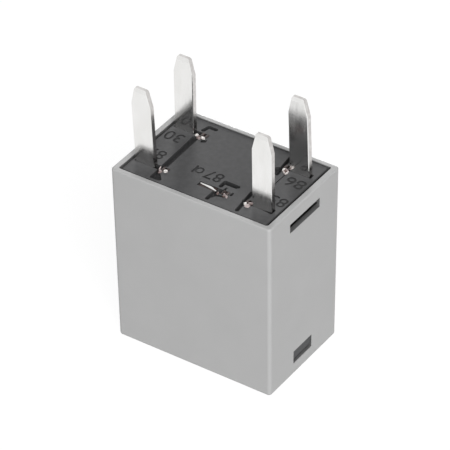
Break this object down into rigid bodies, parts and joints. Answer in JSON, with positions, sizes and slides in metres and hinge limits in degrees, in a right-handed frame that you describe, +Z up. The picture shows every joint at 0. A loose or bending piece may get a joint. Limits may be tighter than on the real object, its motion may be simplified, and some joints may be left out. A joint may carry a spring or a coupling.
{
  "type": "automotive relay",
  "caption": "Plug-in changeover relay: a moulded box cover and base with upright blade terminals, holding a coil, yoke, hinged armature and contacts.",
  "frame": {"origin": "middle of the cover's closed end, which the relay stands on", "axes": "+X along the long side of the cover towards the coil's yoke end, -Y the long side that faces the front, +Z up along the blades"},
  "size_m": [0.023, 0.0154, 0.0363],
  "materials": {
    "cover_plastic": "satin moulded thermoplastic, mid grey",
    "base_plastic": "matte moulded thermoplastic, dark grey",
    "blade_tin": "bright tin plating over copper alloy",
    "bobbin_plastic": "matte moulded thermoplastic, dark grey",
    "enamelled_copper": "enamelled copper wire, glossy",
    "tape_film": "amber polyester film",
    "magnet_iron": "soft iron, dull bright plating",
    "spring_bronze": "rolled copper alloy strip",
    "contact_silver": "silver alloy, satin",
    "rivet_steel": "plated steel",
    "solder": "tin solder, smooth"
  },
  "bodies": {
    "relay_frame": {"cover": "cover_plastic", "base": "base_plastic", "terminal_30": "blade_tin", "terminal_85": "blade_tin", "terminal_86": "blade_tin", "terminal_87": "blade_tin", "terminal_87a": "blade_tin", "bobbin": "bobbin_plastic", "winding": "enamelled_copper", "winding_tape": "tape_film", "core": "magnet_iron", "yoke": "magnet_iron", "yoke_rivets": "rivet_steel", "fixed_contact_87": "contact_silver", "fixed_contact_87a": "contact_silver", "coil_lead_85": "enamelled_copper", "coil_lead_86": "enamelled_copper", "solder_joints": "solder"},
    "armature_set": {"armature": "magnet_iron", "armature_rivets": "rivet_steel", "contact_spring": "spring_bronze", "moving_contact": "contact_silver"}
  },
  "joints": [
    {"name": "armature_hinge", "type": "hinge", "parent": "relay_frame", "child": "armature_set", "pos_m": [-0.00556, 0, 0.014], "axis": [0, -1, 0], "range_deg": [0, 4.9], "stiffness_Nm_per_rad": 0.01, "springref_deg": -6.88, "deforming": ["contact_spring"]}
  ]
}
